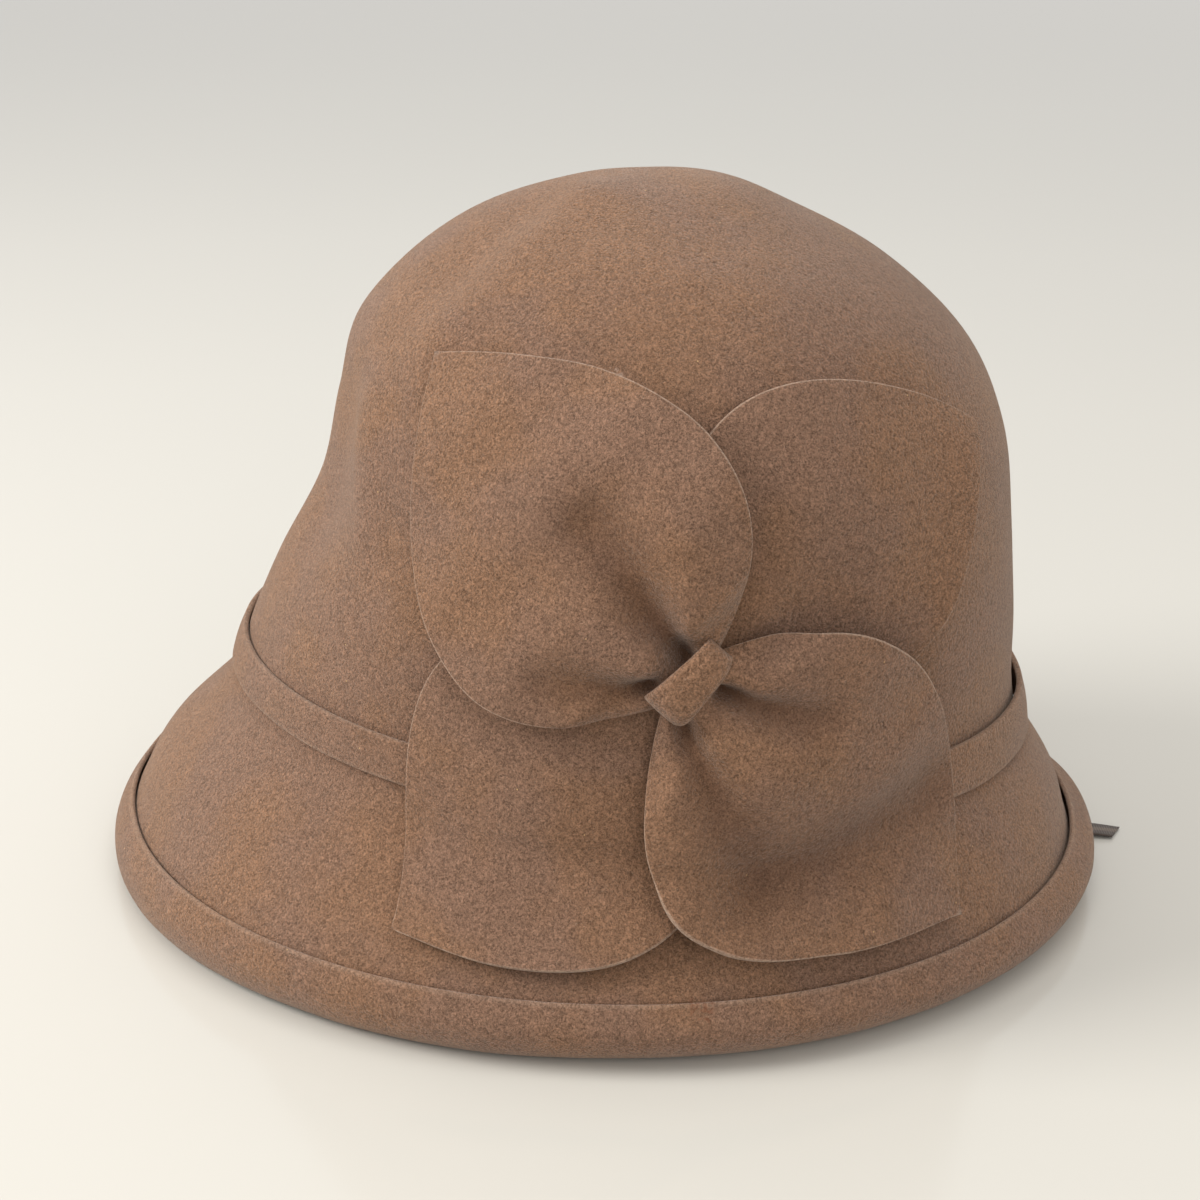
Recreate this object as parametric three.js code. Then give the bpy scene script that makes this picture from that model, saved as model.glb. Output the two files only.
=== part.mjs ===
// A felt cloche hat, resting on its brim. Millimetres, +Z up, the wearer's front towards -Y.
// The origin is on the surface it rests on, under the middle of its box. The bow is on the +X side.
import * as THREE from 'three';

// Driving dimensions
const FELT = 2.0;               // thickness of the body and the leaves
const BAND_FELT = 1.6;          // thickness of the band
const BAND_FOOT_GAP = 0.8;      // band to crown at its lower edge
const BAND_TOP_GAP = 0.9;       // band to crown at its upper edge, which stands off
const BAND_BULGE = 0.3;         // how far the middle of the band's wall bulges, and its edges round over
const RING_SIDES = 48;          // steps round the head
const BODY_STEPS = 23;          // rings from the crown's tip to the foot of the brim
const LEAF_ROWS = 13;           // rows of a leaf from the waist to its tip
const LEAF_COLUMNS = 11;        // steps across a leaf
const LEAF_ROW_SPREAD = 1.15;   // above 1 the rows lie closer together near the waist
const KNOT_STEPS = 12;
const TIE_STEPS = 34;
const CENTRE_SHIFT = -2.4;      // the tables start from the middle of the head; this centres the brim

// Sections of the felt body, outside, from the tip of the crown to the foot of the brim.
// front and back are places along Y, half is half the width, frontUp and backUp are heights.
const BODY_SECTIONS = [
  { name: 'crown_tip', front: 18, back: 18, half: 0, frontUp: 179.6, backUp: 179.6 },
  { name: 'crown_crest', front: 6, back: 31, half: 11, frontUp: 179, backUp: 177.6 },
  { name: 'crown_top', front: -10, back: 45.8, half: 25, frontUp: 176.5, backUp: 171.2 },
  { name: 'crown_cap', front: -38, back: 70.2, half: 50, frontUp: 165.5, backUp: 158 },
  { name: 'shoulder', front: -60.6, back: 90.4, half: 69.5, frontUp: 144.3, backUp: 139.6 },
  { name: 'upper_wall', front: -66.6, back: 99.6, half: 79.5, frontUp: 125, backUp: 120 },
  { name: 'middle_wall', front: -72, back: 103.7, half: 83, frontUp: 102, backUp: 95 },
  { name: 'lower_wall', front: -83.2, back: 106.2, half: 85.3, frontUp: 80, backUp: 72 },
  { name: 'band_top', front: -90.4, back: 107.4, half: 86, frontUp: 63.3, backUp: 52.8 },
  { name: 'band_foot', front: -93, back: 110.2, half: 87.8, frontUp: 55.1, backUp: 41.1 },
  { name: 'brim_root', front: -97.5, back: 114.2, half: 91.5, frontUp: 47, backUp: 36 },
  { name: 'brim_middle', front: -115.2, back: 121.5, half: 101.4, frontUp: 29, backUp: 25 },
  { name: 'brim_foot', front: -121.8, back: 125.1, half: 111.2, frontUp: 16.9, backUp: 14.7 },
];
const BAND_TOP = 8;             // the band's rows of that table
const BAND_FOOT = 9;

// The brim's edge turned up outside, as rings in the same columns, from the groove to the inside.
const HEM_SECTIONS = [
  { name: 'groove_bottom', front: -123, back: 126.2, half: 111.6, frontUp: 11, backUp: 11 },
  { name: 'flap_inside', front: -124.6, back: 127.4, half: 113, frontUp: 13, backUp: 13 },
  { name: 'flap_top_inside', front: -123, back: 126.4, half: 112.3, frontUp: 16.8, backUp: 14.8 },
  { name: 'flap_top_outside', front: -124.6, back: 128, half: 113.8, frontUp: 16.6, backUp: 14.6 },
  { name: 'flap_outside', front: -127.2, back: 131.6, half: 115.4, frontUp: 12.2, backUp: 12 },
  { name: 'roll_side', front: -128.2, back: 133, half: 116.1, frontUp: 8.6, backUp: 8.6 },
  { name: 'roll_lower', front: -127.4, back: 130.6, half: 113.8, frontUp: 3.2, backUp: 3.2 },
  { name: 'floor_outer', front: -126, back: 126.4, half: 109.4, frontUp: 0, backUp: 0 },
  { name: 'floor_inner', front: -124, back: 123.8, half: 106.8, frontUp: 0, backUp: 0 },
  { name: 'roll_inner', front: -121.9, back: 123.2, half: 106.6, frontUp: 3.4, backUp: 3.4 },
];
// Where the tie slips out, the hem is lifted: all of it at the floor, and none above the fade height.
const TIE_ARCH = { angle: 96, spread: 9, height: 2.6, full: 2, fade: 18 };

// Hollows and ridges pressed into the crown: a line between two places, proud is in or out.
const DENTS = [
  { name: 'front_ridge', from: [47, -40, 147], to: [16, -6, 178], width: 9, proud: 2.2 },
  { name: 'front_hollow', from: [34, -33, 163], to: [20, -20, 173], width: 12, proud: -3.0 },
  { name: 'side_ridge', from: [40, -57, 128], to: [50, -57, 104], width: 8, proud: 2.0 },
  { name: 'front_dent', from: [24, -66, 122], to: [24, -70, 100], width: 15, proud: -3.2 },
  { name: 'back_hollow', from: [34, 28, 170], to: [28, 50, 166], width: 13, proud: -1.0 },
];

// Each leaf's two edges are cubic curves on the side of the hat: y, z of root, two pulls and tip.
const TOP_BOW = {
  leaves: [
    { name: 'upper_front', low: [[14, 79], [-32, 64], [-53, 90], [-38, 147]],
      high: [[26, 92], [46, 132], [16, 160], [-38, 147]] },
    { name: 'lower_back', low: [[14, 79], [-1, 24], [32, 23.4], [85.5, 22.5]],
      high: [[26, 92], [74, 109], [84, 73], [85.5, 22.5]] },
  ],
  // Height of the leaf's outer face over the felt below it, by share of the way to the tip.
  heights: [[0, 9], [0.08, 9.2], [0.18, 12.8], [0.32, 11.8], [0.55, 8.6], [0.8, 5], [1, 3.2]],
  // Folds pressed into a leaf, as lines in y and z: width and how proud or sunk, at both ends.
  folds: [
    { leaf: 'upper_front', from: [19, 90], to: [0, 117], width: [2.6, 7.5], proud: [-5, -2] },
    { leaf: 'upper_front', from: [11.5, 84], to: [-8, 84], width: [2.4, 6], proud: [-4.6, -1] },
    { leaf: 'upper_front', from: [20, 110], to: [16, 128], width: [5, 9], proud: [1.2, 0.6] },
    { leaf: 'lower_back', from: [26.5, 82.5], to: [44, 77], width: [2.4, 5.5], proud: [-5, -1] },
    { leaf: 'lower_back', from: [18, 76.5], to: [30, 52], width: [2.4, 8], proud: [-4.4, -2] },
    { leaf: 'lower_back', from: [37, 38], to: [74, 51], width: [8, 9], proud: [-2.4, -2.2] },
    { leaf: 'lower_back', from: [40, 66], to: [62, 66], width: [9, 12], proud: [1.2, 1.6] },
  ],
  edgeDrop: 3.4,
  waistFold: 0.5,
  foldRise: 0.1,
};
const UNDER_BOW = {
  leaves: [
    { name: 'lower_front', low: [[26, 80.5], [48, 8], [-23, 24], [-46, 26]],
      high: [[14.5, 92.5], [-64, 104], [-36, 46], [-46, 26]] },
    { name: 'upper_back', low: [[26, 80.5], [87.6, 55.7], [86.8, 120.1], [85, 132]],
      high: [[14.5, 92.5], [7, 179], [83, 136], [85, 132]] },
  ],
  heights: [[0, 3.1], [0.2, 3.4], [0.45, 5], [0.75, 4.4], [1, 3.2]],
  folds: [
    { leaf: 'lower_front', from: [-6, 56], to: [-24, 40], width: [13, 13], proud: [1.6, 1.4] },
    { leaf: 'upper_back', from: [35, 99], to: [44, 120], width: [5.5, 9], proud: [1.6, 1.2] },
    { leaf: 'upper_back', from: [84, 92], to: [87, 128], width: [9, 9], proud: [2.6, 2] },
  ],
  edgeDrop: 0,
  waistFold: 0.3,
  foldRise: 0.3,
};
const BAND_PROUD = 3;           // the leaves ride over the band by this much
const EDGE_DROP_REACH = 0.3;    // how far from the waist the edges of a leaf still turn down

// The strip round the waist of the bows
const KNOT = {
  low: [13.6, 79.6], high: [26.2, 93.8], lowWidth: 11.4, highWidth: 7.8, thickness: 2.0, rise: 15.2,
  dip: 2.2, narrowing: 0.14, roundness: 1.0,   // lower and narrower at its ends, a little round across
};

// The narrow ribbon: from a stitch on the inner wall at the back, down and out under the hem.
const TIE_WIDTH = 6.6;
const TIE_THICKNESS = 0.6;
const TIE_ROUTE = [
  [-8, 106.2, 34], [-8, 106.6, 31], [-8, 106.9, 27], [-8, 107.3, 23], [-8, 107.8, 19], [-8, 108.6, 15],
  [-7.8, 109.8, 11], [-7.5, 111.6, 7.4], [-7, 114, 4.4], [-6.5, 117, 2.4], [-6, 120.5, 1.3],
  [-5.6, 124, 0.9], [-5.1, 127.5, 1], [-4.6, 131, 1.2], [-4.1, 134.5, 1.3], [-3.6, 138.6, 1.1],
  [-3.2, 142.8, 0.7],
];

// ---------- Small helpers

const clamp01 = (v) => Math.min(1, Math.max(0, v));
const bell = (v) => Math.exp(-v * v);
const smooth = (v) => { const c = clamp01(v); return c * c * (3 - 2 * c); };

// Value at x of a short table of [x, value] rows, eased between rows.
function along(rows, x) {
  const next = rows.findIndex((row) => row[0] >= x);
  if (next <= 0) return rows[0][1];
  const [a, b] = [rows[next - 1], rows[next]];
  return a[1] + (b[1] - a[1]) * smooth((x - a[0]) / (b[0] - a[0]));
}

// A closed solid from loops of equal length. A loop of one point closes an end.
// Where it is ringed, the last loop joins the first.
function solidFromLoops(loops, ringed = false) {
  const points = [];
  const starts = loops.map((loop) => { const start = points.length; points.push(...loop); return start; });
  const triangles = [];
  const joins = ringed ? loops.length : loops.length - 1;
  for (let i = 0; i < joins; i += 1) {
    const j = (i + 1) % loops.length;
    const sides = Math.max(loops[i].length, loops[j].length);
    const at = (row, k) => starts[row] + (loops[row].length === 1 ? 0 : k % sides);
    for (let k = 0; k < sides; k += 1) {
      if (loops[i].length > 1) triangles.push([at(i, k), at(j, k), at(i, k + 1)]);
      if (loops[j].length > 1) triangles.push([at(i, k + 1), at(j, k), at(j, k + 1)]);
    }
  }
  const volume = triangles.reduce((sum, [a, b, c]) => sum
    + points[a].dot(new THREE.Vector3().crossVectors(points[b], points[c])), 0);
  const index = volume > 0 ? triangles.flat() : triangles.flatMap(([a, b, c]) => [a, c, b]);
  const geometry = new THREE.BufferGeometry().setFromPoints(points);
  geometry.setIndex(index);
  geometry.computeVertexNormals();
  return geometry;
}

// The middle of a loop, as the one point that closes an end
function middleOf(loop) {
  return [loop.reduce((sum, p) => sum.add(p), new THREE.Vector3()).divideScalar(loop.length)];
}

// Unit normals of a grid of loops, pointing away from the axis of the hat where it is a shell.
function gridNormals(loops, sideways) {
  return loops.map((loop, i) => loop.map((point, k) => {
    const before = loops[Math.max(i - 1, 0)];
    const after = loops[Math.min(i + 1, loops.length - 1)];
    const at = (row) => row[Math.min(k, row.length - 1)];
    const down = new THREE.Vector3().subVectors(at(after), at(before));
    const last = loop.length - 1;
    const left = sideways ? loop[Math.max(k - 1, 0)] : loop[(k + last) % loop.length];
    const right = sideways ? loop[Math.min(k + 1, last)] : loop[(k + 1) % loop.length];
    return new THREE.Vector3().crossVectors(down, new THREE.Vector3().subVectors(right, left)).normalize();
  }));
}

// ---------- The felt body

// Smooth lines through the section table, one along the front and one along the back.
function sectionLines(sections) {
  const line = (key, up) => new THREE.CatmullRomCurve3(
    sections.map((s) => new THREE.Vector3(s.half, s[key], s[up])), false, 'centripetal');
  return { front: line('front', 'frontUp'), back: line('back', 'backUp') };
}

function sectionBetween(front, back) {
  return {
    half: (front.x + back.x) / 2,
    middle: (front.y + back.y) / 2,
    reach: (back.y - front.y) / 2,
    up: (front.z + back.z) / 2,
    rise: (back.z - front.z) / 2,
  };
}

function sectionAt(lines, share) {
  return sectionBetween(lines.front.getPoint(share), lines.back.getPoint(share));
}

// The ring of a section, grown outward and moved up. Angle 0 is the +X side and 90 degrees the back.
function ringOf(section, out = 0, up = 0) {
  return Array.from({ length: RING_SIDES }, (_, k) => {
    const angle = (2 * Math.PI * k) / RING_SIDES;
    const sine = Math.sin(angle);
    return new THREE.Vector3(
      (section.half + out) * Math.cos(angle),
      section.middle + (section.reach + out) * sine,
      section.up + section.rise * sine + up,
    );
  });
}

// The distance from a point to the line of a dent
function distanceToLine(point, from, to) {
  const line = new THREE.Line3(new THREE.Vector3(...from), new THREE.Vector3(...to));
  return line.closestPointToPoint(point, true, new THREE.Vector3()).distanceTo(point);
}

function dented(loops) {
  const normals = gridNormals(loops, false);
  return loops.map((loop, i) => loop.map((point, k) => {
    const proud = DENTS.reduce((sum, dent) => sum
      + dent.proud * bell(distanceToLine(point, dent.from, dent.to) / dent.width), 0);
    const normal = loop.length === 1 ? new THREE.Vector3(0, 0, 1) : normals[i][k];
    return point.clone().addScaledVector(normal, proud);
  }));
}

// How far the hem is lifted at a place, to let the tie out
function archAt(point, section) {
  const [side, back] = [point.x / section.half, (point.y - section.middle) / section.reach];
  const angle = THREE.MathUtils.radToDeg(Math.atan2(back, side));
  return TIE_ARCH.height * bell((angle - TIE_ARCH.angle) / TIE_ARCH.spread);
}

function bodyGeometry(lines) {
  const outer = dented(Array.from({ length: BODY_STEPS + 1 }, (_, i) => {
    const section = sectionAt(lines, i / BODY_STEPS);
    return i === 0 ? [new THREE.Vector3(0, section.middle, section.up)] : ringOf(section);
  }));
  const foot = sectionAt(lines, 1);
  // The floor rows are flat except where the tie passes.
  const hem = HEM_SECTIONS.map((row) => {
    const front = new THREE.Vector3(row.half, row.front, row.frontUp);
    const back = new THREE.Vector3(row.half, row.back, row.backUp);
    return ringOf(sectionBetween(front, back)).map((point) => {
      const near = 1 - smooth((point.z - TIE_ARCH.full) / (TIE_ARCH.fade - TIE_ARCH.full));
      return point.setZ(point.z + archAt(point, foot) * near);
    });
  });
  const normals = gridNormals(outer, false);
  const inner = outer.slice(0, -1).map((loop, i) => loop.map((point, k) => {
    const normal = loop.length === 1 ? new THREE.Vector3(0, 0, 1) : normals[i][k];
    return point.clone().addScaledVector(normal, -FELT);
  })).reverse();
  return solidFromLoops([...outer, ...hem, ...inner]);
}

// ---------- The band

function bandGeometry(lines) {
  const rows = BODY_SECTIONS.length - 1;
  const top = sectionAt(lines, BAND_TOP / rows);
  const foot = sectionAt(lines, BAND_FOOT / rows);
  const middle = sectionAt(lines, (BAND_TOP + BAND_FOOT) / 2 / rows);
  const middleGap = (BAND_TOP_GAP + BAND_FOOT_GAP) / 2;
  return solidFromLoops([
    ringOf(top, BAND_TOP_GAP),
    ringOf(top, BAND_TOP_GAP + BAND_FELT, BAND_BULGE),
    ringOf(middle, middleGap + BAND_FELT + 2 * BAND_BULGE),
    ringOf(foot, BAND_FOOT_GAP + BAND_FELT),
    ringOf(foot, BAND_FOOT_GAP, -BAND_BULGE),
    ringOf(middle, middleGap + BAND_BULGE),
  ], true);
}

// ---------- The bows

const HALVINGS = 26;

// How far out the side of the felt is at a given y and z, by halving the way down the sections
function sidePlace(lines, y, z) {
  let [above, below] = [0, 1];
  let reached = 0;
  for (let i = 0; i < HALVINGS; i += 1) {
    const share = (above + below) / 2;
    const section = sectionAt(lines, share);
    const sine = (y - section.middle) / section.reach;
    if (Math.abs(sine) < 1 && section.up + section.rise * sine < z) below = share; else above = share;
    reached = section.half * Math.sqrt(Math.max(0, 1 - sine * sine));
  }
  return reached;
}

function edgePoint([root, rootPull, tipPull, tip], share) {
  const v = (p) => new THREE.Vector2(...p);
  return new THREE.CubicBezierCurve(v(root), v(rootPull), v(tipPull), v(tip)).getPoint(share);
}

// Height of the outer face of a leaf over the felt below, at a share of its length and a place across.
function leafHeight(bow, leaf, share, across, place) {
  let height = along(bow.heights, share);
  const start = bow.waistFold + (1 - bow.waistFold) * smooth(share / bow.foldRise);
  for (const fold of bow.folds.filter((f) => f.leaf === leaf.name)) {
    const [from, to] = [new THREE.Vector2(...fold.from), new THREE.Vector2(...fold.to)];
    const way = to.clone().sub(from);
    const gone = clamp01(place.clone().sub(from).dot(way) / way.lengthSq());
    const aside = place.distanceTo(from.addScaledVector(way, gone));
    const width = THREE.MathUtils.lerp(...fold.width, gone);
    height += THREE.MathUtils.lerp(...fold.proud, gone) * bell(aside / width) * start;
  }
  return height - bow.edgeDrop * Math.abs(across) ** 3 * bell(share / EDGE_DROP_REACH);
}

// A place on the outer face of a leaf, by share of its length and share of its width
function leafPlace(lines, bow, leaf, share, widthShare) {
  const place = edgePoint(leaf.low, share).lerp(edgePoint(leaf.high, share), widthShare);
  const side = (y, z) => sidePlace(lines, place.x + y, place.y + z);
  const steep = Math.hypot(1, (side(1, 0) - side(-1, 0)) / 2, (side(0, 1) - side(0, -1)) / 2);
  const height = leafHeight(bow, leaf, share, 2 * widthShare - 1, place);
  return new THREE.Vector3(side(0, 0) + height * steep, place.x, place.y);
}

// The rows of a bow from the tip of one leaf over the waist to the tip of the other
function bowRows(lines, bow) {
  const rowsOf = (leaf) => Array.from({ length: LEAF_ROWS }, (_, i) => {
    const share = (i / LEAF_ROWS) ** LEAF_ROW_SPREAD;
    const place = (_, k) => leafPlace(lines, bow, leaf, share, k / LEAF_COLUMNS);
    return Array.from({ length: LEAF_COLUMNS + 1 }, place);
  });
  const [first, second] = bow.leaves.map(rowsOf);
  return [...first.reverse(), ...second.slice(1)];
}

// Felt thickness behind the outer face of a bow, with its cut edges square to it.
function bowGeometry(lines, bow) {
  const front = bowRows(lines, bow);
  const normals = gridNormals(front, true);
  const middle = Math.floor(LEAF_COLUMNS / 2);
  const inward = -Math.sign(normals[LEAF_ROWS - 1][middle].x);
  const loops = front.map((row, i) => {
    const back = row.map((point, k) => point.clone().addScaledVector(normals[i][k], inward * FELT));
    return [...row, ...back.reverse()];
  });
  const tips = [0, loops.length - 1].map((row, i) => [leafPlace(lines, bow, bow.leaves[i], 1, 0)
    .addScaledVector(normals[row][middle], inward * FELT / 2)]);
  return solidFromLoops([tips[0], ...loops, tips[1]]);
}

// ---------- The knot

function knotGeometry(lines) {
  const [low, high] = [new THREE.Vector2(...KNOT.low), new THREE.Vector2(...KNOT.high)];
  const run = high.clone().sub(low).normalize();
  const side = new THREE.Vector2(-run.y, run.x);
  const loops = Array.from({ length: KNOT_STEPS + 1 }, (_, i) => {
    const share = i / KNOT_STEPS;
    const middle = low.clone().lerp(high, share);
    const bend = Math.abs(2 * share - 1);
    const height = KNOT.rise - KNOT.dip * bend ** 5;
    const width = THREE.MathUtils.lerp(KNOT.lowWidth, KNOT.highWidth, share);
    const half = (width / 2) * (1 - KNOT.narrowing * bend ** 8);
    const corner = (across, depth) => {
      const place = middle.clone().addScaledVector(side, across);
      const round = KNOT.roundness * (across / half) ** 4;
      const out = sidePlace(lines, middle.x, middle.y) + height - round - depth;
      return new THREE.Vector3(out, place.x, place.y);
    };
    const shares = [-1, -0.5, 0, 0.5, 1];
    const outside = shares.map((a) => corner(a * half, 0));
    const inside = shares.map((a) => corner(-a * half, KNOT.thickness));
    return [...outside, ...inside];
  });
  return solidFromLoops([middleOf(loops[0]), ...loops, middleOf(loops[KNOT_STEPS])]);
}

// ---------- The tie

function tieGeometry() {
  const route = new THREE.CatmullRomCurve3(TIE_ROUTE.map((p) => new THREE.Vector3(...p)));
  const [w, t] = [TIE_WIDTH / 2, TIE_THICKNESS / 2];
  const bevel = t / 2;
  const outline = [[-w, -t + bevel], [-w + bevel, -t], [w - bevel, -t], [w, -t + bevel],
    [w, t - bevel], [w - bevel, t], [-w + bevel, t], [-w, t - bevel]];
  const loops = Array.from({ length: TIE_STEPS + 1 }, (_, i) => {
    const point = route.getPointAt(i / TIE_STEPS);
    const ahead = route.getTangentAt(i / TIE_STEPS);
    const widthways = new THREE.Vector3(1, 0, 0);
    const up = new THREE.Vector3().crossVectors(widthways, ahead).normalize();
    const across = new THREE.Vector3().crossVectors(ahead, up).normalize();
    return outline.map(([a, b]) => point.clone().addScaledVector(across, a).addScaledVector(up, b));
  });
  return solidFromLoops([middleOf(loops[0]), ...loops, middleOf(loops[TIE_STEPS])]);
}

// ---------- The hat

const felt = new THREE.MeshStandardMaterial({ color: 0x7a5f4e, roughness: 0.95, metalness: 0 });
const ribbon = new THREE.MeshStandardMaterial({ color: 0x4b392d, roughness: 0.7, metalness: 0 });

const bodyLines = sectionLines(BODY_SECTIONS);
const overBand = BODY_SECTIONS.map((s, i) => (i === BAND_TOP || i === BAND_FOOT
  ? { ...s, front: s.front - BAND_PROUD, back: s.back + BAND_PROUD, half: s.half + BAND_PROUD }
  : s));
const drapeLines = sectionLines(overBand);

const hat = new THREE.Group();
function add(name, geometry, material) {
  const mesh = new THREE.Mesh(geometry, material);
  mesh.name = name;
  mesh.position.y = CENTRE_SHIFT;
  hat.add(mesh);
}
add('hat_body', bodyGeometry(bodyLines), felt);
add('band', bandGeometry(bodyLines), felt);
add('under_bow', bowGeometry(drapeLines, UNDER_BOW), felt);
add('top_bow', bowGeometry(drapeLines, TOP_BOW), felt);
add('knot', knotGeometry(drapeLines), felt);
add('tie_ribbon', tieGeometry(), ribbon);

export default hat;
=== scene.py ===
"""A felt cloche hat resting on its brim, with a pinched bow of four leaves on the wearer's left.

Every table is in millimetres from the middle of the head, with +Z up and the wearer's front towards -Y.
A piece is laid out in them, and its points then go to metres round the middle of the brim.
"""
import math

import bmesh
import bpy
import numpy as np
from mathutils import Matrix, Vector, noise


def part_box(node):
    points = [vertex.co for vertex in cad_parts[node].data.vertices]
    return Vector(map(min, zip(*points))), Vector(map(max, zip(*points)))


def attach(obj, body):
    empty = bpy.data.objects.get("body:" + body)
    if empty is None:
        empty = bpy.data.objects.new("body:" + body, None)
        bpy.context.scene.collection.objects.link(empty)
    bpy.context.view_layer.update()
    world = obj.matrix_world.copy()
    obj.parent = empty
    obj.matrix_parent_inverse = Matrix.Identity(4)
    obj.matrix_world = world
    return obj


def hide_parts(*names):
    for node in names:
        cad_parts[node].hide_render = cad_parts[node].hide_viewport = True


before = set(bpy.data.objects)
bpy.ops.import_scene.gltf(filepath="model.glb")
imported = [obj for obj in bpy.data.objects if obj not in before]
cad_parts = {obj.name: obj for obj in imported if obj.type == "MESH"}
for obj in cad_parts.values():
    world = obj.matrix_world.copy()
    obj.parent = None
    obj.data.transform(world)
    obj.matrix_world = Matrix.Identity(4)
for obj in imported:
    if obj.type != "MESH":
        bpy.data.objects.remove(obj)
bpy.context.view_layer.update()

MM = 0.001
BODY_LOW, BODY_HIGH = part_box("hat_body")
BRIM_MIDDLE_Y = 2.4                      # the brim reaches about 5 mm further back than forward
FRAME_Y = (BODY_LOW[1] + BODY_HIGH[1]) / 2 - BRIM_MIDDLE_Y * MM

# ---------- Sizes

FELT = 2.0                               # thickness of the body and the leaves
BAND_FELT = 1.6
CUT_ROUNDING = 0.55                      # how far a cut edge of felt is rounded
CUT_STEPS = 3                            # rows of a quarter of that rounding
RING_SIDES = 192

# name, front and back along Y, half the width, height at the front and at the back
BODY_SECTIONS = [
    ("crown_tip", 18, 18, 0, 179.6, 179.6),
    ("crown_crest", 6, 31, 11, 179, 177.6),
    ("crown_top", -10, 45.8, 25, 176.5, 171.2),
    ("crown_cap", -38, 70.2, 50, 165.5, 158),
    ("shoulder", -60.6, 90.4, 69.5, 144.3, 139.6),
    ("upper_wall", -66.6, 99.6, 79.5, 125, 120),
    ("middle_wall", -72, 103.7, 83, 102, 95),
    ("lower_wall", -83.2, 106.2, 85.3, 80, 72),
    ("band_top", -90.4, 107.4, 86, 63.3, 52.8),
    ("band_foot", -93.0, 110.2, 87.8, 55.1, 41.1),
    ("brim_root", -97.5, 114.2, 91.5, 47, 36),
    ("brim_middle", -115.2, 121.5, 101.4, 29, 25),
    ("brim_foot", -121.8, 125.1, 111.2, 16.9, 14.7),
]
BAND_TOP, BAND_FOOT = 8, 9               # the rows of that table behind the band
ROWS_PER_SECTION = 10

# The felt is folded up outside round the brim's edge. These are the face inside that fold.
HEM_SECTIONS = [
    ("brim_foot", -121.8, 125.1, 111.2, 16.9, 14.7),
    ("brim_turn", -123.4, 126.4, 111.8, 12.4, 11.2),
    ("fold_inside", -124.4, 126.4, 111.0, 8.2, 7.6),
    ("fold_low", -124.8, 125.8, 109.2, 4.5, 4.4),
    ("fold_bottom", -125.2, 125.4, 107.8, 2.1, 2.1),
    ("fold_out", -126.0, 127.6, 110.2, 3.4, 3.4),
    ("flap_low", -126.3, 130.0, 112.8, 6.0, 6.0),
    ("flap_middle", -125.9, 130.8, 113.9, 9.5, 9.2),
    ("flap_high", -124.5, 128.4, 113.1, 13.4, 12.2),
    ("flap_edge", -122.5, 126.0, 111.9, 16.6, 14.6),
]
HEM_ROWS_PER_SECTION = 4
PRESSED_EDGE, PRESSED_ROWS = 1.3, 9      # the flap is pressed thinner over its last rows

# The outer face of the band, in the same columns
BAND_SECTIONS = [
    ("top", -92.4, 110.2, 88.6, 63.3, 52.8),
    ("middle", -94.0, 111.8, 89.7, 59.4, 47.2),
    ("foot", -95.2, 112.7, 90.2, 55.3, 41.3),
]

# Hollows and ridges in the crown: both ends of a line, its width, and how proud or sunk it is.
DENTS = [
    ("front_ridge", (47, -40, 147), (16, -6, 178), 9, 2.2),
    ("front_hollow", (34, -33, 163), (20, -20, 173), 12, -3.0),
    ("side_ridge", (40, -57, 128), (50, -57, 104), 8, 2.0),
    ("front_dent", (24, -66, 122), (24, -70, 100), 15, -3.2),
    ("back_hollow", (34, 28, 170), (28, 50, 166), 13, -0.6),
]
BODY_UNEVENNESS = [(48.0, 0.45), (15.0, 0.12)]   # how long the felt's waves are and how proud
LEAF_UNEVENNESS = [(22.0, 0.35), (9.0, 0.1)]

# Where the tie slips out, the hem is lifted: all of it at the floor and none at the fade height.
TIE_ARCH_ANGLE, TIE_ARCH_SPREAD, TIE_ARCH_HEIGHT = 96, 9, 2.6
TIE_ARCH_FULL, TIE_ARCH_FADE = 2, 18

# A leaf's two edges are cubic curves on the side of the hat: y and z of root, two pulls and tip.
# heights: share of the way to the tip, and height of the outer face over the felt below.
# folds: both ends as y and z, then the width and the height (sunk where negative) at each end.
TOP_BOW = {
    "leaves": [
        {"low": [(14, 79), (-32, 64), (-53, 90), (-38, 147)],
         "high": [(26, 92), (46, 132), (16, 160), (-38, 147)],
         "folds": [("upper_valley", (19, 90), (-1, 118), 2.4, 8.5, -6.2, -3.8),
                   ("long_valley", (11.5, 84), (-10, 84), 2.1, 6.5, -5.4, -2.4),
                   ("right_lobe", (20, 110), (16, 128), 5.0, 9.0, 1.2, 0.6)]},
        {"low": [(14, 79), (-1, 24), (32, 23.4), (85.5, 22.5)],
         "high": [(26, 92), (74, 109), (84, 73), (85.5, 22.5)],
         "folds": [("right_valley", (26.5, 82.5), (48, 76.5), 2.1, 5.5, -6.2, -3.0),
                   ("low_valley", (18, 76.5), (31, 50), 2.2, 8.0, -5.4, -3.0),
                   ("tip_trough", (36, 38), (74, 51), 8.5, 9.0, -4.2, -3.4),
                   ("lobe", (40, 66), (62, 66), 9.0, 12.0, 1.4, 1.8)]},
    ],
    "heights": [(0, 10), (0.08, 10.4), (0.18, 14), (0.34, 13.8), (0.56, 10.4), (0.8, 6), (1, 3.4)],
    "edge_drop": 3.4,
    "waist_fold": 0.7,
    "fold_rise": 0.1,
}
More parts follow.
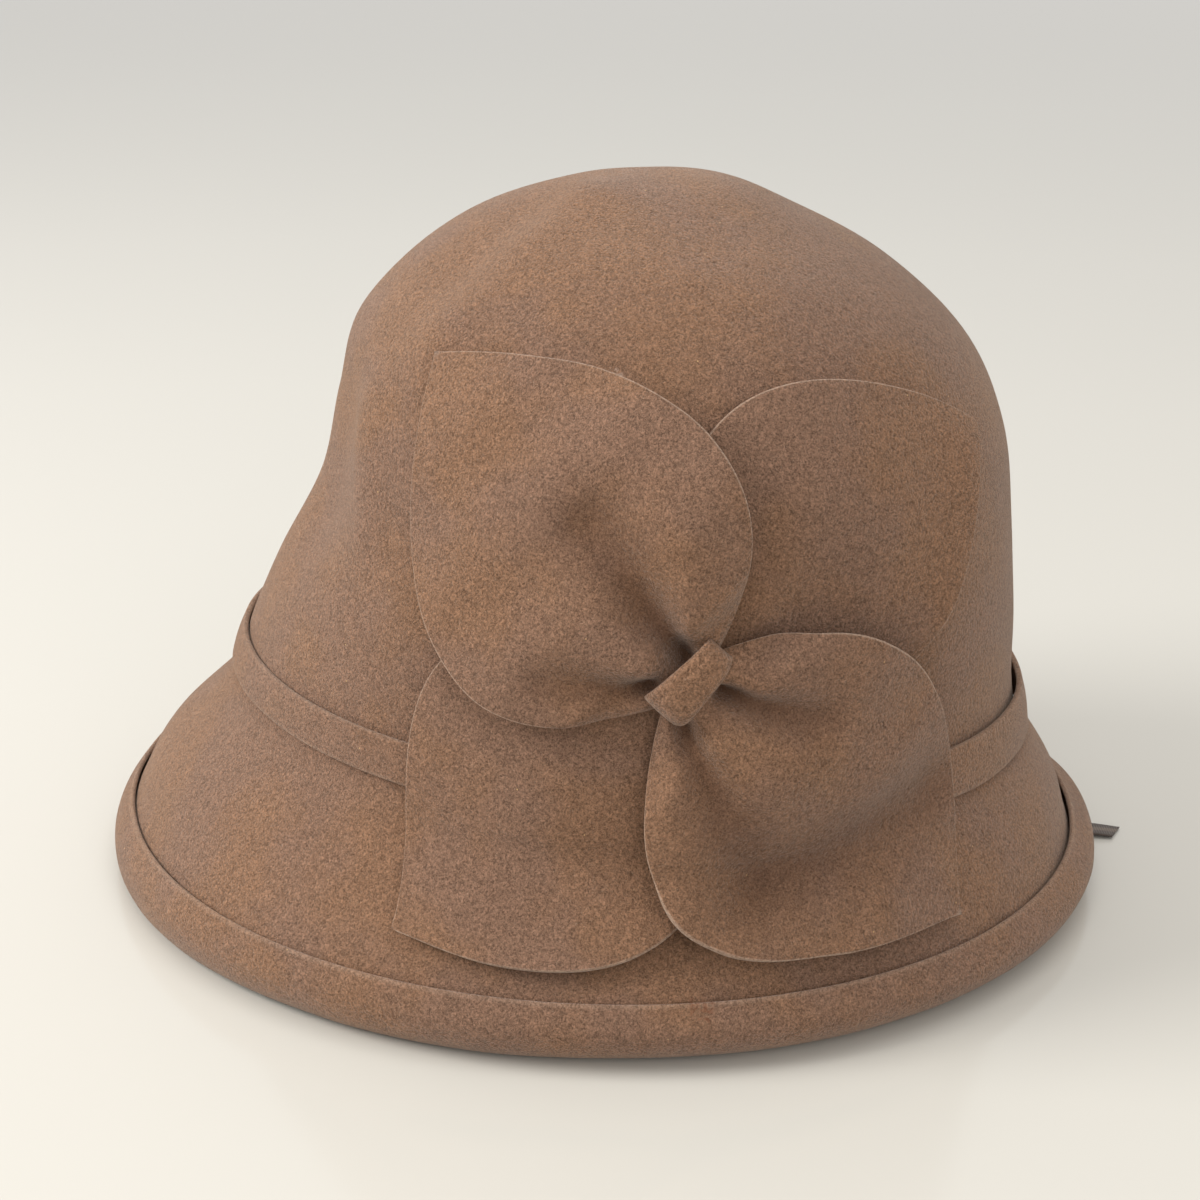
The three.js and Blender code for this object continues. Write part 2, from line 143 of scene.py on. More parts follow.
UNDER_BOW = {
    "leaves": [
        {"low": [(26, 80.5), (48, 8), (-23, 24), (-46, 26)],
         "high": [(14.5, 92.5), (-64, 104), (-36, 46), (-46, 26)],
         "folds": [("lobe", (-13, 54), (-26, 42), 13.0, 13.0, 1.8, 1.6)]},
        {"low": [(26, 80.5), (87.6, 55.7), (86.8, 120.1), (85, 132)],
         "high": [(14.5, 92.5), (7, 179), (83, 136), (85, 132)],
         "folds": [("ridge", (35, 99), (44, 120), 5.5, 9.0, 1.8, 1.2),
                   ("loose_edge", (84, 92), (87, 128), 9.0, 9.0, 3.4, 3.0)]},
    ],
    "heights": [(0, 3.1), (0.2, 3.4), (0.45, 5), (0.75, 4.4), (1, 3.2)],
    "edge_drop": 0.0,
    "waist_fold": 0.3,
    "fold_rise": 0.3,
}
BAND_PROUD = 3                           # the leaves ride over the band by this much
HALVINGS = 26                            # steps of the search for the side of the felt
FOLD_FULL_SHADE_DEPTH = 6.0                         # a fold this deep gets the full painted shade in the finish
EDGE_DROP_REACH = 0.3                    # how far from the waist the edges still turn down
LEAF_ROWS, LEAF_COLUMNS = 84, 80
LEAF_ROW_SPREAD = 1.15                   # above 1 the rows lie closer together near the waist

KNOT_LOW, KNOT_HIGH = (13.6, 79.6), (26.2, 93.8)
KNOT_LOW_WIDTH, KNOT_HIGH_WIDTH = 11.4, 7.8
KNOT_FELT, KNOT_RISE, KNOT_DIP = 2.0, 15.7, 3.2
KNOT_NARROWING = 0.14                    # how much narrower its ends are, as a share
KNOT_SQUARENESS = 0.7                    # 1 is an oval section and less is squarer
KNOT_CREASE, KNOT_CREASE_PLACE, KNOT_CREASE_WIDTH = 0.4, 0.6, 0.14
KNOT_EDGE_DROP = 1.0                     # how far its long edges turn down

TIE_WIDTH, TIE_THICKNESS = 6.6, 0.6
TIE_CUT = 3.0                            # how much longer one edge of the tie is where it is cut off
TIE_CUT_FROM, TIE_CUT_SHARE = 0.85, 0.15     # where along the tie that begins, and over what share
TIE_END_X = -3.6                         # the middle of the end that shows
TIE_ROUTE = [
    (-8, 106.2, 34), (-8, 106.6, 31), (-8, 106.9, 27), (-8, 107.3, 23), (-8, 107.8, 19),
    (-8, 108.6, 15), (-7.8, 109.8, 11), (-7.5, 111.6, 7.4), (-7, 114, 4.4), (-6.5, 117, 2.4),
    (-6, 120.5, 1.3), (-5.6, 124, 0.9), (-5.1, 127.5, 1), (-4.6, 131, 1.2), (-4.1, 134.5, 1.3),
    (-3.6, 138.6, 1.1), (-3.2, 142.8, 0.7),
]

# ---------- Small helpers


def bell(value):
    return np.exp(-value * value)


def smooth(value):
    held = np.clip(value, 0, 1)
    return held * held * (3 - 2 * held)


def along(rows, x):
    """The values at x of a short table of (x, value) rows, eased between them."""
    value = np.full(np.shape(x), float(rows[0][1]))
    for before, after in zip(rows, rows[1:]):
        value = value + (after[1] - before[1]) * smooth((x - before[0]) / (after[0] - before[0]))
    return value


def unit(vectors):
    return vectors / np.maximum(np.linalg.norm(vectors, axis=-1, keepdims=True), 1e-12)


def spline(points, steps):
    """A centripetal Catmull-Rom line through points, with so many steps between each two."""
    held = np.array(points, float)
    ringed = np.vstack([2 * held[0] - held[1], held, 2 * held[-1] - held[-2]])
    spans = np.sqrt(np.linalg.norm(np.diff(ringed, axis=0), axis=1))
    line = []
    for i in range(1, len(ringed) - 2):
        a, b, c, d = ringed[i - 1:i + 3]
        before, span, after = spans[i - 1:i + 2]
        leave = ((b - a) / before - (c - a) / (before + span) + (c - b) / span) * span
        arrive = ((c - b) / span - (d - b) / (span + after) + (d - c) / after) * span
        for s in np.arange(steps) / steps:
            line.append(b + leave * s + (3 * (c - b) - 2 * leave - arrive) * s ** 2
                        + (2 * (b - c) + leave + arrive) * s ** 3)
    return np.array([*line, held[-1]])


def to_frame(points):
    """Millimetres from the middle of the head as metres in the row frame."""
    return np.asarray(points, float) * MM + np.array([0, FRAME_Y, 0])


def face_normals(points, ringed):
    """Unit normals of a grid of points. Where rows run down and columns run round, they point out."""
    if ringed:
        wide = np.concatenate([points[:, -2:-1], points, points[:, 1:2]], axis=1)
        round_way = wide[:, 2:] - wide[:, :-2]
    else:
        round_way = np.gradient(points, axis=1)
    return unit(np.cross(np.gradient(points, axis=0), round_way))


def unevenness(points, waves, seed):
    """How proud the felt is at each point, from a few sizes of slow waves."""
    flat = points.reshape(-1, 3)
    proud = np.zeros(len(flat))
    for length, height in waves:
        shift = Vector((seed * 7.3, seed * 3.1, length))
        proud += [height * noise.noise(Vector(p) / length + shift) for p in flat]
    return proud.reshape(points.shape[:-1])


def lofted(name, points, edges=None):
    """A closed piece from rows of points: a grid moved to them, welded at its seam and its ends.

    edges holds 1 for a point on a cut edge, down to -1 for one deep in a fold, where the finish paints
    shade.
    """
    rows, columns = points.shape[:2]
    places = to_frame(points)
    bm = bmesh.new()
    bm.loops.layers.uv.new("cloth")
    cut = bm.verts.layers.float.new("cut_edge_and_fold_shade")
    bmesh.ops.create_grid(bm, x_segments=columns - 1, y_segments=rows - 1, size=1, calc_uvs=True)
    for vert in bm.verts:
        column = round((vert.co.x + 1) / 2 * (columns - 1))
        row = round((vert.co.y + 1) / 2 * (rows - 1))
        vert.co = places[row, column]
        if edges is not None:
            vert[cut] = edges[row, column]
    bmesh.ops.remove_doubles(bm, verts=bm.verts, dist=2e-6)
    bmesh.ops.recalc_face_normals(bm, faces=bm.faces)
    return finished(name, bm)


def finished(name, bm):
    mesh = bpy.data.meshes.new(name)
    bm.to_mesh(mesh)
    bm.free()
    mesh.shade_smooth()
    piece = bpy.data.objects.new(name, mesh)
    bpy.context.scene.collection.objects.link(piece)
    return piece


def rounded_cut(edge, outward, normal, thickness):
    """Rows over a cut edge of felt from its outer face to its inner one, rounded at both."""
    quarter = np.radians(np.linspace(0, 90, CUT_STEPS + 1))
    rounding = [(CUT_ROUNDING * math.sin(a), CUT_ROUNDING * (1 - math.cos(a))) for a in quarter]
    profile = rounding + [(out, thickness - deep) for out, deep in reversed(rounding)]
    return [edge + outward * out - normal * deep for out, deep in profile]


# ---------- The camera

LOOK_UP, CAMERA_AWAY, PITCH, ROLL, LENS = 67.5, 535, 21.5, 1.1, 61.45


def make_camera():
    """On the bow's side of the hat, looking along -X and down at it."""
    pitch, roll = math.radians(PITCH), math.radians(ROLL)
    ahead = Vector((-math.cos(pitch), 0, -math.sin(pitch)))
    right = Vector((0, 1, 0))
    up = right.cross(ahead)
    across = right * math.cos(roll) + up * math.sin(roll)
    upward = up * math.cos(roll) - right * math.sin(roll)
    camera = bpy.data.objects.new("camera", bpy.data.cameras.new("camera"))
    camera.data.lens = LENS
    camera.data.clip_start = 0.01
    place = Vector(to_frame((0, 0, LOOK_UP))) - ahead * CAMERA_AWAY * MM
    turn = Matrix((across, upward, -ahead)).transposed()
    camera.matrix_world = Matrix.Translation(place) @ turn.to_4x4()
    bpy.context.scene.collection.objects.link(camera)
    bpy.context.scene.camera = camera


# ---------- The tie


def make_tie(finish):
    """A narrow ribbon from the inner wall at the back, under the hem and a little way past it."""
    route = spline(TIE_ROUTE, 6)
    ahead = unit(np.gradient(route, axis=0))
    up = unit(np.cross(np.array([1.0, 0, 0]), ahead))
    across = unit(np.cross(ahead, up))
    half, thin = TIE_WIDTH / 2, TIE_THICKNESS / 2
    ribs = 10
    face = [(a, thin) for a in np.linspace(-half + thin, half - thin, ribs)]
    edge = [(half, thin / 2), (half, -thin / 2)]
    outline = face + edge + [(-a, -b) for a, b in face + edge]
    outline.append(outline[0])
    cut = smooth((np.arange(len(route)) / (len(route) - 1) - TIE_CUT_FROM) / TIE_CUT_SHARE)
    rows = []
    for i in range(len(route)):
        longer = TIE_CUT * cut[i]
        rows.append([route[i] + across[i] * a + up[i] * b + ahead[i] * longer * -a / TIE_WIDTH
                     for a, b in outline])
    ends = [[np.mean(row, axis=0)] * len(outline) for row in (rows[0], rows[-1])]
    tie = lofted("tie", np.array([ends[0], *rows, ends[1]]))
    tie.data.materials.append(finish)
    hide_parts("tie_ribbon")
    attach(tie, "root")


# ---------- Sections of the hat


def section_table(sections, steps=100):
    """Sections as fine rows of half width, middle, reach, height and rise towards the back."""
    front = spline([(half, front, up) for _, front, _, half, up, _ in sections], steps)
    back = spline([(half, back, up) for _, _, back, half, _, up in sections], steps)
    return np.array([(front[:, 0] + back[:, 0]) / 2, (front[:, 1] + back[:, 1]) / 2,
                     (back[:, 1] - front[:, 1]) / 2, (front[:, 2] + back[:, 2]) / 2,
                     (back[:, 2] - front[:, 2]) / 2])


def over_band(sections):
    """The sections with those behind the band swelled to lie over it."""
    swelled = []
    for row, (name, front, back, half, front_up, back_up) in enumerate(sections):
        proud = BAND_PROUD if row in (BAND_TOP, BAND_FOOT) else 0
        swelled.append((name, front - proud, back + proud, half + proud, front_up, back_up))
    return swelled


def section_at(table, share):
    shares = np.linspace(0, 1, table.shape[1])
    return [np.interp(share, shares, values) for values in table]


ANGLES = np.linspace(0, 2 * math.pi, RING_SIDES + 1)


def ring(section, out=0.0, up=0.0):
    """The ring of a section, grown outward and moved up. Angle 0 is the +X side, 90 degrees the back."""
    half, middle, reach, height, rise = section
    sine = np.sin(ANGLES)
    return np.stack([(half + out) * np.cos(ANGLES), middle + (reach + out) * sine,
                     height + rise * sine + up], axis=-1)


def side_place(table, y, z):
    """How far out the side of the felt is at each y and z, by halving the way down the sections."""
    above, below = np.zeros(np.shape(y)), np.ones(np.shape(y))
    for _ in range(HALVINGS):
        share = (above + below) / 2
        half, middle, reach, height, rise = section_at(table, share)
        sine = (y - middle) / np.maximum(reach, 1e-9)
        over = (abs(sine) < 1) & (height + rise * sine < z)
        below = np.where(over, share, below)
        above = np.where(over, above, share)
    return half * np.sqrt(np.maximum(0, 1 - sine ** 2))


BODY_TABLE = section_table(BODY_SECTIONS)
DRAPE_TABLE = section_table(over_band(BODY_SECTIONS))

# ---------- The felt body


def dent_depths(points):
    """How proud the crown is at each point, from its ridges and hollows."""
    proud = np.zeros(points.shape[:-1])
    for _, start, end, width, height in DENTS:
        start, end = np.array(start, float), np.array(end, float)
        way = end - start
        share = np.clip((points - start) @ way / (way @ way), 0, 1)
        nearest = start + share[..., None] * way
        proud += height * bell(np.linalg.norm(points - nearest, axis=-1) / width)
    return proud


def lift_hem(points):
    """Lifts the hem where the tie slips out under it."""
    half, middle, reach, _, _ = section_at(BODY_TABLE, 1.0)
    angle = np.degrees(np.arctan2((points[..., 1] - middle) / reach, points[..., 0] / half))
    near = 1 - smooth((points[..., 2] - TIE_ARCH_FULL) / (TIE_ARCH_FADE - TIE_ARCH_FULL))
    points[..., 2] += TIE_ARCH_HEIGHT * bell((angle - TIE_ARCH_ANGLE) / TIE_ARCH_SPREAD) * near


def make_body(finish):
    """The crown, the brim and its turned-up edge, as one wall of felt."""
    shares = np.linspace(0, 1, (len(BODY_SECTIONS) - 1) * ROWS_PER_SECTION + 1)
    crown = np.array([ring(section_at(BODY_TABLE, share)) for share in shares])
    outward = face_normals(crown, True)
    outward[0] = (0, 0, 1)
    crown += outward * dent_depths(crown)[..., None]
    hem = np.array([ring(section) for section in section_table(HEM_SECTIONS, HEM_ROWS_PER_SECTION).T[1:]])
    sheet = np.concatenate([crown, hem])
    lift_hem(sheet)
    outward = face_normals(sheet, True)
    outward[0] = (0, 0, 1)
    sheet += outward * unevenness(sheet, BODY_UNEVENNESS, 1)[..., None]
    outward = face_normals(sheet, True)
    outward[0] = (0, 0, 1)
    edge_way = unit(sheet[-1] - sheet[-2])
    cut = rounded_cut(sheet[-1], edge_way, outward[-1], PRESSED_EDGE)
    pressed = smooth(1 - np.arange(len(sheet))[::-1] / PRESSED_ROWS)
    thickness = FELT + (PRESSED_EDGE - FELT) * pressed
    inside = (sheet - outward * thickness[:, None, None])[::-1]
    wall = np.concatenate([sheet[:-1], cut, inside[1:]])
    wall[..., 2] = np.maximum(wall[..., 2], 0)
    edges = np.zeros(wall.shape[:2])
    edges[len(sheet) - 1:len(sheet) - 1 + len(cut)] = 0.35
    body = lofted("felt_body", wall, edges)
    body.data.materials.append(finish)
    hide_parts("hat_body")
    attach(body, "root")


# ---------- The band


def make_band(finish):
    """The narrow strip round the foot of the crown, which stands off a little at its upper edge."""
    outer = np.array([ring(section) for section in section_table(BAND_SECTIONS, 7).T])
    outward = face_normals(outer, True)
    proud = unevenness(outer, LEAF_UNEVENNESS, 2)
    outer += outward * proud[..., None]
    inner = outer - outward * BAND_FELT
    foot = rounded_cut(outer[-1], unit(outer[-1] - outer[-2]), outward[-1], BAND_FELT)
    top = rounded_cut(outer[0], unit(outer[0] - outer[1]), outward[0], BAND_FELT)
    loop = np.concatenate([outer[:-1], foot, inner[-2:0:-1], top[::-1]])
    edges = np.zeros(loop.shape[:2])
    edges[len(outer) - 1:len(outer) - 1 + len(foot)] = 0.3
    edges[-len(top):] = 0.3
    band = lofted("felt_band", np.concatenate([loop, loop[:1]]), np.concatenate([edges, edges[:1]]))
    band.data.materials.append(finish)
    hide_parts("band")
    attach(band, "root")


# ---------- The bows


def cubic(points, share):
    root, root_pull, tip_pull, tip = (np.array(p, float) for p in points)
    s = np.asarray(share)[..., None]
    return ((1 - s) ** 3 * root + 3 * (1 - s) ** 2 * s * root_pull
            + 3 * (1 - s) * s ** 2 * tip_pull + s ** 3 * tip)


def leaf_height(bow, leaf, share, across, place):
    """Height of the outer face of a leaf over the felt below it, and how far a fold has sunk it, as a
    share of the painted shade in that fold.
    """
    height = along(bow["heights"], share)
    fold_shade = 0.0
    start = bow["waist_fold"] + (1 - bow["waist_fold"]) * smooth(share / bow["fold_rise"])
    for _, first, last, first_width, last_width, first_height, last_height in leaf["folds"]:
        way = np.array(last, float) - first
        gone = np.clip((place - first) @ way / (way @ way), 0, 1)
        aside = np.linalg.norm(place - first - gone[..., None] * way, axis=-1)
        width = first_width + (last_width - first_width) * gone
        proud = first_height + (last_height - first_height) * gone
        step = proud * bell(aside / width) * start
        height = height + step
        fold_shade = fold_shade + np.maximum(-step, 0)
    height = height - bow["edge_drop"] * abs(across) ** 3 * bell(share / EDGE_DROP_REACH)
    return height, np.clip(fold_shade / FOLD_FULL_SHADE_DEPTH, 0, 1)


def leaf_face(bow, leaf):
    """Rows of points on a leaf's outer face, from the waist to the tip."""
    share = (np.arange(LEAF_ROWS + 1) / LEAF_ROWS)[:, None] ** LEAF_ROW_SPREAD
    low, high = cubic(leaf["low"], share[:, 0]), cubic(leaf["high"], share[:, 0])
    width = np.linalg.norm(high - low, axis=-1)[:, None]
    inset = np.minimum(CUT_ROUNDING / np.maximum(width, 1e-6), 0.5)
    part = inset + (1 - 2 * inset) * np.linspace(0, 1, LEAF_COLUMNS + 1)
    place = low[:, None] + (high - low)[:, None] * part[..., None]
    y, z = place[..., 0], place[..., 1]
    out = side_place(DRAPE_TABLE, y, z)
    slope_y = (side_place(DRAPE_TABLE, y + 1, z) - side_place(DRAPE_TABLE, y - 1, z)) / 2
    slope_z = (side_place(DRAPE_TABLE, y, z + 1) - side_place(DRAPE_TABLE, y, z - 1)) / 2
    steep = np.sqrt(1 + slope_y ** 2 + slope_z ** 2)
    height, fold_shade = leaf_height(bow, leaf, share, 2 * part - 1, place)
    rounding = np.minimum(CUT_ROUNDING, width / 2)[:, 0]
    return np.stack([out + height * steep, y, z], axis=-1), rounding, fold_shade


def make_bow(name, bow, node, finish, seed):
    """Two leaves cut in one piece: felt of even thickness behind the outer face, with cut edges."""
    halves = [leaf_face(bow, leaf) for leaf in bow["leaves"]]
    face, rounding, fold_shade = [np.concatenate([first[::-1], second[1:]]) for first, second in zip(*halves)]
    normals = face_normals(face, False)
    if normals[LEAF_ROWS, LEAF_COLUMNS // 2, 0] < 0:
        normals = -normals
    face += normals * unevenness(face, LEAF_UNEVENNESS, seed)[..., None]
    rows = []
    edges = []
    quarter = np.radians(np.linspace(0, 90, CUT_STEPS + 1))[1:]
    for i, line in enumerate(face):
        normal = normals[i]
        left_way = unit(line[0] - line[1])
        right_way = unit(line[-1] - line[-2])
        r = rounding[i]
        left = [(r * math.sin(a), r * (1 - math.cos(a))) for a in quarter]
        left += [(out, FELT - deep) for out, deep in reversed(left)]
        right_side = [line[-1] + right_way * out - normal[-1] * deep for out, deep in left]
        left_side = [line[0] + left_way * out - normal[0] * deep for out, deep in reversed(left)]
        back = (line - normal * FELT)[::-1]
        rows.append(np.concatenate([line, right_side, back, left_side, line[:1]]))
        # A fold's depth goes in as a negative mark, which the finish paints as shade.
        edges.append(np.concatenate([-fold_shade[i], np.ones(len(left)), np.zeros(len(line)),
                                     np.ones(len(left)), -fold_shade[i, :1]]))
    piece = lofted(name, np.array(rows), np.array(edges))
    piece.data.materials.append(finish)
    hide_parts(node)
    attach(piece, "root")


# ---------- The knot


def make_knot(finish):
    """The folded strip round the waist of both bows."""
    low, high = np.array(KNOT_LOW), np.array(KNOT_HIGH)
    run = unit(high - low)
    side = np.array([-run[1], run[0]])
    turns = np.linspace(0, 2 * math.pi, 49)
    rows = []
    for share in np.linspace(0, 1, 41):
        middle = low + (high - low) * share
        bend = abs(2 * share - 1)
        height = KNOT_RISE - KNOT_DIP * bend ** 5
        width = KNOT_LOW_WIDTH + (KNOT_HIGH_WIDTH - KNOT_LOW_WIDTH) * share
        half = width / 2 * (1 - KNOT_NARROWING * bend ** 8)
        across = half * np.sign(np.cos(turns)) * abs(np.cos(turns)) ** KNOT_SQUARENESS
        level = KNOT_FELT / 2 * np.sign(np.sin(turns)) * abs(np.sin(turns)) ** KNOT_SQUARENESS
        top = level > 0
        crease = KNOT_CREASE * bell((across / half - KNOT_CREASE_PLACE) / KNOT_CREASE_WIDTH) * top
        out = side_place(DRAPE_TABLE, middle[0], middle[1]) + height - KNOT_FELT / 2
        rows.append(np.stack([out + level - crease - KNOT_EDGE_DROP * (across / half) ** 4,
                              middle[0] + side[0] * across, middle[1] + side[1] * across], axis=-1))
    ends = [[np.mean(row, axis=0)] * len(turns) for row in (rows[0], rows[-1])]
    knot = lofted("felt_knot", np.array([ends[0], *rows, ends[1]]))
    knot.data.materials.append(finish)
    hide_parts("knot")
    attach(knot, "root")


# ---------- Finishes


class Flow:
    """A value on its way through a material. Arithmetic on it adds Math nodes."""

    def __init__(self, finish, socket):
        self.finish = finish
        self.socket = socket

    def __add__(self, other):
        return self.finish.math("ADD", self, other)

    def __sub__(self, other):
        return self.finish.math("SUBTRACT", self, other)

    def __rsub__(self, other):
        return self.finish.math("SUBTRACT", other, self)

    def __mul__(self, other):
        return self.finish.math("MULTIPLY", self, other)

    __radd__ = __add__
    __rmul__ = __mul__


class Finish:
    """A material: its shader, and the nodes that feed it."""

    def __init__(self, name, constants):
        self.material = bpy.data.materials.new(name)
        self.material.use_nodes = True
        self.tree = self.material.node_tree
        self.tree.nodes.clear()
        self.shader = self.tree.nodes.new("ShaderNodeBsdfPrincipled")
        output = self.tree.nodes.new("ShaderNodeOutputMaterial")
        self.tree.links.new(self.shader.outputs[0], output.inputs["Surface"])
        for socket, value in constants.items():
            self.shader.inputs[socket].default_value = value

    def node(self, kind, settings=None, values=None, output=0):
        """Any node: its settings are set first, then the values or links of its sockets."""
        made = self.tree.nodes.new(kind)
        for setting, value in (settings or {}).items():
            setattr(made, setting, value)
        for socket, value in (values or {}).items():
            self.feed(made.inputs[socket], value)
        return Flow(self, made.outputs[output])

    def feed(self, socket, value):
        if isinstance(value, Flow):
            self.tree.links.new(value.socket, socket)
        else:
            socket.default_value = value

    def math(self, operation, *values):
        return self.node("ShaderNodeMath", {"operation": operation}, dict(enumerate(values)))

    def place(self):
        return self.node("ShaderNodeTexCoord", output="Object")

    def grain(self, place, size, detail=2.0, roughness=0.5, distortion=0.0):
        """Even noise from 0 to 1 whose grains are of that size in millimetres."""
        return self.node("ShaderNodeTexNoise", values={
            "Vector": place, "Scale": 1 / (size * MM), "Detail": detail, "Roughness": roughness,
            "Distortion": distortion}, output="Fac")

    def between(self, value, low, high, to_low=0.0, to_high=1.0):
        """The value eased from low and high to to_low and to_high, and held there."""
        return self.node("ShaderNodeMapRange", {"interpolation_type": "SMOOTHSTEP"}, {
            "Value": value, "From Min": low, "From Max": high, "To Min": to_low, "To Max": to_high})

    def grey(self, value):
        """A number as a grey colour, to multiply another colour by."""
        return self.node("ShaderNodeCombineColor", values={0: value, 1: value, 2: value})

    def mix(self, share, first, second, blend="MIX"):
        """Two colours mixed."""
        return self.node("ShaderNodeMix", {"data_type": "RGBA", "blend_type": blend},
                         {0: share, 6: first, 7: second}, output=2)

    def bump(self, height, depth, strength=1.0):
        """A Bump node for a height from 0 to 1 that is so many millimetres deep."""
        return self.node("ShaderNodeBump", values={
            "Strength": strength, "Distance": depth * MM, "Height": height})


# Marks on the felt: middle, radius, how strong, and colour. The first two are lint.
SPOTS = [
    ((44, -39.5, 145.5), 2.2, 0.55, (0.62, 0.52, 0.45, 1)),
    ((66, 2, 146), 1.4, 0.4, (0.55, 0.42, 0.34, 1)),
    ((110, 20.5, 19), 1.5, 0.7, (0.045, 0.026, 0.018, 1)),
    ((111, 24, 15), 2.6, 0.45, (0.2, 0.07, 0.035, 1)),
    ((75, 96, 108), 1.1, 0.75, (0.03, 0.018, 0.013, 1)),
]


def felt_finish():
    """Soft wool felt: mixed brown fibres, a fine matted nap, pale cut edges, painted shade in the leaves'
    folds, flecks and spots.
    """
    felt = Finish("taupe_felt", {
        "Roughness": 0.94, "Specular IOR Level": 0.1, "Sheen Weight": 0.4,
        "Sheen Roughness": 0.32, "Sheen Tint": (0.92, 0.83, 0.74, 1)})
    place = felt.place()
    broad = felt.grain(place, 30, 2, 0.5)
    patch = felt.grain(place, 7, 3, 0.6)
    tuft = felt.between(felt.grain(place, 2.4, 3, 0.65, 0.6), 0.3, 0.7)
    strands = felt.between(felt.grain(place, 0.85, 2, 0.6, 1.6), 0.38, 0.62)
    speck = felt.between(felt.grain(place, 0.5, 1, 0.6, 1.0), 0.34, 0.66)
    warm = (0.228, 0.126, 0.075, 1)
    cool = (0.214, 0.124, 0.083, 1)
    colour = felt.mix(felt.between(broad, 0.4, 0.6), cool, warm)
    light = (1.0 + 0.14 * (patch - 0.5) + 0.12 * (tuft - 0.5) + 0.38 * (strands - 0.5)
             + 0.62 * (speck - 0.5))
    colour = felt.mix(1.0, colour, felt.grey(light), "MULTIPLY")
    pale_wool = felt.between(felt.grain(place, 0.75, 2, 0.7, 4.0), 0.58, 0.68)
    colour = felt.mix(pale_wool * 0.5, colour, (0.42, 0.3, 0.22, 1))
    dark_wool = felt.between(felt.grain(place, 0.95, 2, 0.7, 3.0), 0.42, 0.32)
    colour = felt.mix(dark_wool * 0.5, colour, (0.07, 0.036, 0.022, 1))
    cell = felt.node("ShaderNodeTexVoronoi", {}, {"Vector": place, "Scale": 1 / (3.2 * MM)})
    chance = felt.node("ShaderNodeTexVoronoi", {}, {"Vector": place, "Scale": 1 / (3.2 * MM)},
                       output="Color")
    red = felt.node("ShaderNodeSeparateColor", values={0: chance})
    fleck = felt.between(cell, 0.075, 0.04) * felt.between(red, 0.9, 0.92)
    colour = felt.mix(fleck * 0.8, colour, (0.62, 0.4, 0.2, 1))
    cut_or_fold_shade = felt.node("ShaderNodeAttribute", {"attribute_name": "cut_edge_and_fold_shade"}, output="Fac")
    cut = felt.math("MAXIMUM", cut_or_fold_shade, 0.0)
    fold_shade = felt.math("MAXIMUM", 0 - cut_or_fold_shade, 0.0)
    # Painted shade: the felt darkens where a leaf's folds sink, standing in for the shade in them.
    colour = felt.mix(fold_shade * 0.62, colour, (0.075, 0.036, 0.021, 1))
    colour = felt.mix(cut * (0.3 + 0.5 * strands), colour, (0.44, 0.31, 0.23, 1))
    for middle, radius, strength, shade in SPOTS:
        away = felt.node("ShaderNodeVectorMath", {"operation": "DISTANCE"},
                         {0: place, 1: tuple(to_frame(middle))}, output="Value")
        ragged = away * (1 / MM) + 1.6 * radius * (tuft - 0.5)
        spot = felt.between(ragged, radius, radius * 0.35)
        colour = felt.mix(spot * strength, colour, shade)
    felt.feed(felt.shader.inputs["Base Color"], colour)
    nap = 0.5 * strands + 0.3 * tuft + 0.3 * speck
    felt.feed(felt.shader.inputs["Normal"], felt.bump(nap, 0.32, 0.8))
    return felt.material


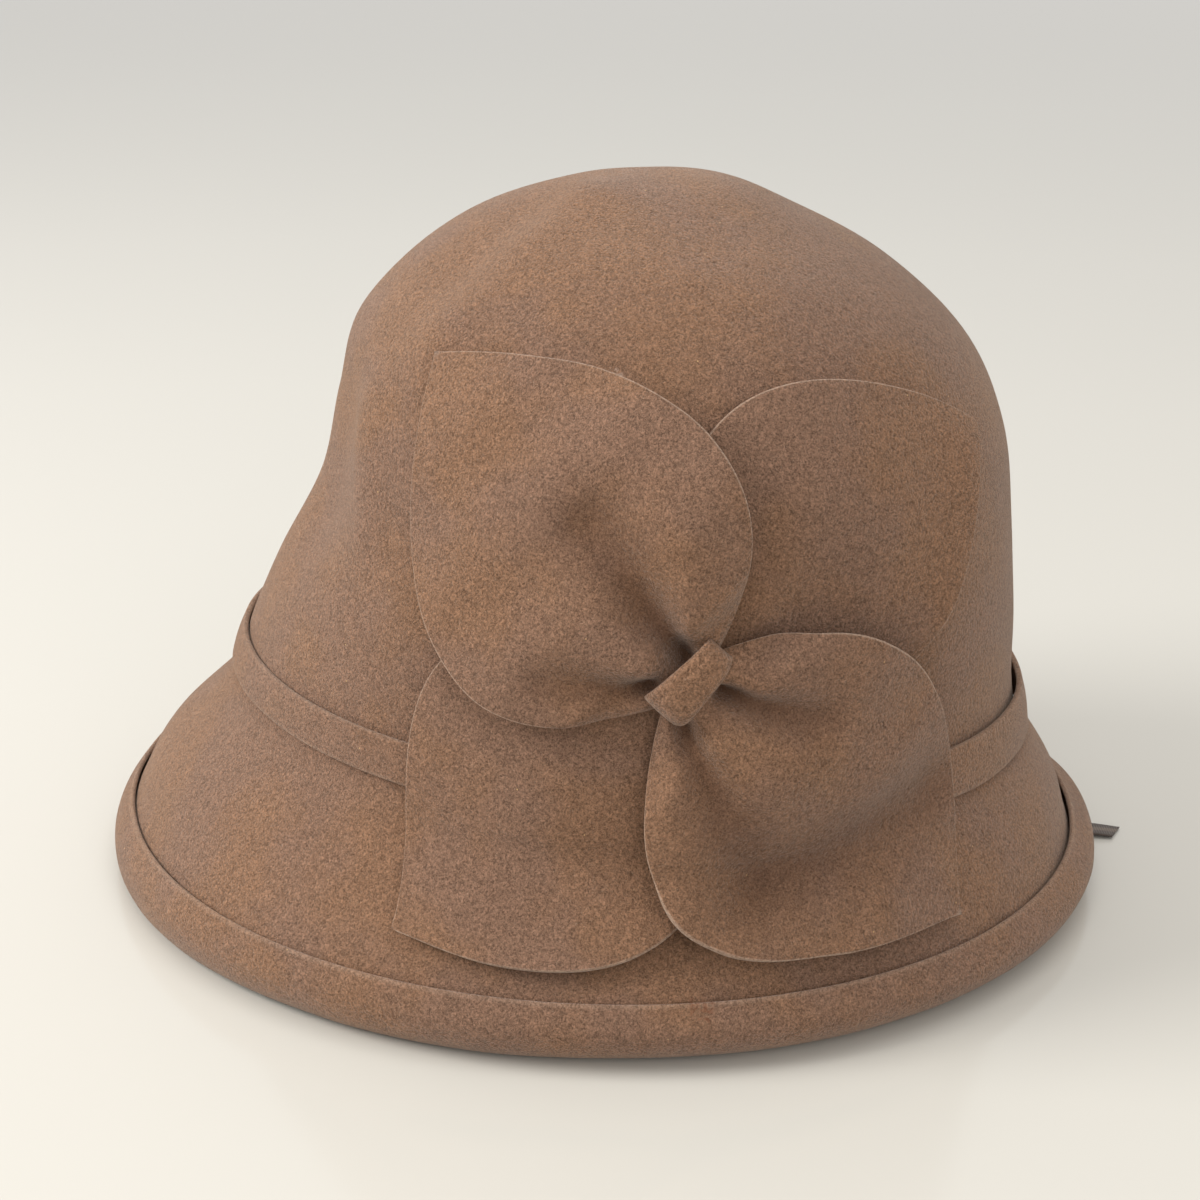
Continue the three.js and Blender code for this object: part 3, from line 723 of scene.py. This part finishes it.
def ribbon_finish():
    """Narrow woven ribbon, dark brown with fine ribs across it and a paler stripe along its middle."""
    ribbon = Finish("brown_ribbon", {"Roughness": 0.5, "Sheen Weight": 0.2})
    place = ribbon.place()
    crossways = ribbon.node("ShaderNodeSeparateXYZ", values={0: place}, output="X")
    lengthways = ribbon.node("ShaderNodeSeparateXYZ", values={0: place}, output="Y")
    ribs = ribbon.math("SINE", lengthways * (2 * math.pi / (0.7 * MM))) * 0.5 + 0.5
    weave = ribbon.grain(place, 0.35, 2)
    aside = ribbon.math("ABSOLUTE", crossways * (1 / MM) - TIE_END_X)
    stripe = ribbon.between(aside, 1.4, 0.5)
    colour = ribbon.mix(ribbon.between(weave, 0.3, 0.7), (0.03, 0.017, 0.011, 1), (0.06, 0.037, 0.025, 1))
    colour = ribbon.mix(stripe * 0.4, colour, (0.22, 0.16, 0.115, 1))
    ribbon.feed(ribbon.shader.inputs["Base Color"], colour)
    ribbon.feed(ribbon.shader.inputs["Normal"], ribbon.bump(ribs, 0.15, 0.6))
    return ribbon.material


# ---------- Floor and light


def make_stage():
    """A pale polished table top."""
    bm = bmesh.new()
    bmesh.ops.create_grid(bm, x_segments=1, y_segments=1, size=3)
    floor = finished("floor", bm)
    table = Finish("pale_table", {"Base Color": (0.62, 0.605, 0.56, 1), "Roughness": 0.14})
    floor.data.materials.append(table.material)


LIGHT_AIM = (0, 0, 0.1)
# name, place and width in metres, power in watts, and colour
LIGHTS = [
    ("window", (0.2, -1.25, 0.85), 0.8, 19, (1.0, 0.975, 0.94)),
    ("room", (1.3, 0.35, 0.8), 1.2, 5, (1.0, 0.97, 0.93)),
    ("ceiling", (-0.1, 0.1, 1.6), 1.5, 7, (1.0, 0.97, 0.93)),
]


def area_light(name, place, size, power, colour):
    light = bpy.data.lights.new(name, "AREA")
    light.shape = "DISK"
    light.size = size
    light.energy = power
    light.color = colour
    lamp = bpy.data.objects.new(name, light)
    way = Vector(LIGHT_AIM) - Vector(place)
    lamp.matrix_world = Matrix.Translation(place) @ way.to_track_quat("-Z", "Y").to_matrix().to_4x4()
    bpy.context.scene.collection.objects.link(lamp)


def make_light():
    """A soft window towards the wearer's front, and weaker lights beside and above, in a pale room."""
    scene = bpy.context.scene
    scene.view_settings.view_transform = "Standard"
    world = bpy.data.worlds.new("studio")
    world.use_nodes = True
    background = world.node_tree.nodes["Background"]
    background.inputs["Color"].default_value = (1.0, 0.985, 0.96, 1)
    background.inputs["Strength"].default_value = 0.74
    scene.world = world
    for row in LIGHTS:
        area_light(*row)


# ---------- The hat

make_camera()
wool = felt_finish()
make_tie(ribbon_finish())
make_body(wool)
make_band(wool)
make_bow("under_leaves", UNDER_BOW, "under_bow", wool, 3)
make_bow("top_leaves", TOP_BOW, "top_bow", wool, 4)
make_knot(wool)
make_stage()
make_light()
